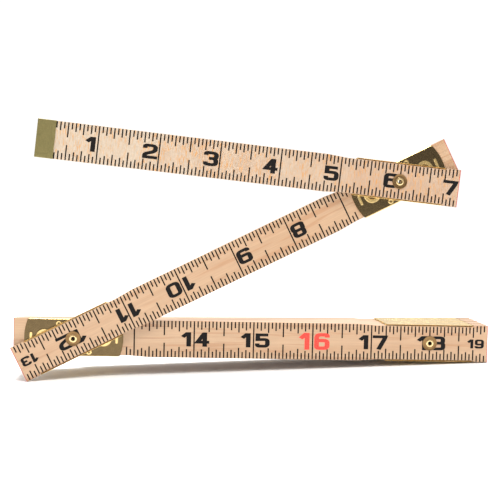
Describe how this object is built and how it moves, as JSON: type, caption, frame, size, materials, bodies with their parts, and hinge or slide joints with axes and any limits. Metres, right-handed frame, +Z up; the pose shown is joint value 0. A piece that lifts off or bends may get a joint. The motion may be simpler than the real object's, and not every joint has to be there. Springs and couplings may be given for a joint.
{
  "type": "folding rule",
  "caption": "Wooden zig-zag folding rule of flat sections on brass pivot joints, with brass end tips and a brass extension slide.",
  "frame": {"origin": "on the surface that the rule stands on, below the middle of its bounding box", "axes": "+X along the folded stack, to the right as the numbers of section 3 are read; +Y from section 1, the front one, to section 12, the rear one; +Z up"},
  "size_m": [0.2044, 0.0382, 0.1097],
  "materials": {
    "section_wood": "thin clear satin varnish over pale hardwood",
    "first_section_wood": "thin clear satin varnish over flecked quarter-sawn hardwood",
    "plate_brass": "pressed sheet, dulled faces with bright raised edges",
    "rivet_brass": "satin",
    "tip_brass": "brushed across",
    "slide_brass": "brushed along"
  },
  "bodies": {
    "section_01": {"blade_01": "first_section_wood", "joint_01_back_plate": "plate_brass", "joint_01_rivet": "rivet_brass", "joint_01_washers": "rivet_brass", "zero_end_tip": "tip_brass"},
    "section_02": {"blade_02": "section_wood", "joint_02_back_plate": "plate_brass", "joint_02_rivet": "rivet_brass", "joint_02_washers": "rivet_brass", "joint_01_front_plate": "plate_brass"},
    "section_03": {"blade_03": "section_wood", "joint_03_back_plate": "plate_brass", "joint_03_rivet": "rivet_brass", "joint_03_washers": "rivet_brass", "joint_02_front_plate": "plate_brass"},
    "section_04": {"blade_04": "section_wood", "joint_04_back_plate": "plate_brass", "joint_04_rivet": "rivet_brass", "joint_04_washers": "rivet_brass", "joint_03_front_plate": "plate_brass"},
    "section_05": {"blade_05": "section_wood", "joint_05_back_plate": "plate_brass", "joint_05_rivet": "rivet_brass", "joint_05_washers": "rivet_brass", "joint_04_front_plate": "plate_brass"},
    "section_06": {"blade_06": "section_wood", "joint_06_back_plate": "plate_brass", "joint_06_rivet": "rivet_brass", "joint_06_washers": "rivet_brass", "joint_05_front_plate": "plate_brass"},
    "section_07": {"blade_07": "section_wood", "joint_07_back_plate": "plate_brass", "joint_07_rivet": "rivet_brass", "joint_07_washers": "rivet_brass", "joint_06_front_plate": "plate_brass"},
    "section_08": {"blade_08": "section_wood", "joint_08_back_plate": "plate_brass", "joint_08_rivet": "rivet_brass", "joint_08_washers": "rivet_brass", "joint_07_front_plate": "plate_brass"},
    "section_09": {"blade_09": "section_wood", "joint_09_back_plate": "plate_brass", "joint_09_rivet": "rivet_brass", "joint_09_washers": "rivet_brass", "joint_08_front_plate": "plate_brass"},
    "section_10": {"blade_10": "section_wood", "joint_10_back_plate": "plate_brass", "joint_10_rivet": "rivet_brass", "joint_10_washers": "rivet_brass", "joint_09_front_plate": "plate_brass"},
    "section_11": {"blade_11": "section_wood", "joint_11_back_plate": "plate_brass", "joint_11_rivet": "rivet_brass", "joint_11_washers": "rivet_brass", "joint_10_front_plate": "plate_brass"},
    "section_12": {"blade_12": "section_wood", "joint_11_front_plate": "plate_brass", "far_end_tip": "tip_brass"},
    "slide": {"extension_slide": "slide_brass", "slide_stud": "slide_brass"}
  },
  "joints": [
    {"name": "joint_02", "type": "hinge", "parent": "section_03", "child": "section_02", "pos_m": [-0.07577, -0.0144, 0.01757], "axis": [0, -1, 0], "range_deg": [-27, 153]},
    {"name": "joint_01", "type": "hinge", "parent": "section_02", "child": "section_01", "pos_m": [0.06349, -0.0176, 0.07948], "axis": [0, 1, 0], "range_deg": [-32.4, 147.6]},
    {"name": "joint_03", "type": "hinge", "parent": "section_03", "child": "section_04", "pos_m": [0.07642, -0.0112, 0.0095], "axis": [0, -1, 0], "range_deg": [-0.22, 179.78]},
    {"name": "joint_04", "type": "hinge", "parent": "section_04", "child": "section_05", "pos_m": [-0.0758, -0.008, 0.01699], "axis": [0, 1, 0], "range_deg": [-0.05, 179.95]},
    {"name": "joint_05", "type": "hinge", "parent": "section_05", "child": "section_06", "pos_m": [0.07641, -0.0048, 0.00937], "axis": [0, -1, 0], "range_deg": [-0.22, 179.78]},
    {"name": "joint_06", "type": "hinge", "parent": "section_06", "child": "section_07", "pos_m": [-0.07583, -0.0016, 0.0164], "axis": [0, 1, 0], "range_deg": [-0.05, 179.95]},
    {"name": "joint_07", "type": "hinge", "parent": "section_07", "child": "section_08", "pos_m": [0.07641, 0.0016, 0.00924], "axis": [0, -1, 0], "range_deg": [-0.22, 179.78]},
    {"name": "joint_08", "type": "hinge", "parent": "section_08", "child": "section_09", "pos_m": [-0.07585, 0.0048, 0.01582], "axis": [0, 1, 0], "range_deg": [-0.05, 179.95]},
    {"name": "joint_09", "type": "hinge", "parent": "section_09", "child": "section_10", "pos_m": [0.0764, 0.008, 0.00911], "axis": [0, -1, 0], "range_deg": [-0.22, 179.78]},
    {"name": "joint_10", "type": "hinge", "parent": "section_10", "child": "section_11", "pos_m": [-0.07588, 0.0112, 0.01523], "axis": [0, 1, 0], "range_deg": [-0.05, 179.95]},
    {"name": "joint_11", "type": "hinge", "parent": "section_11", "child": "section_12", "pos_m": [0.07639, 0.0144, 0.00897], "axis": [0, -1, 0], "range_deg": [-0.22, 179.78]},
    {"name": "slide_out", "type": "slide", "parent": "section_01", "child": "slide", "axis": [-0.9892, 0, 0.1467], "range_m": [0, 0.127]}
  ]
}
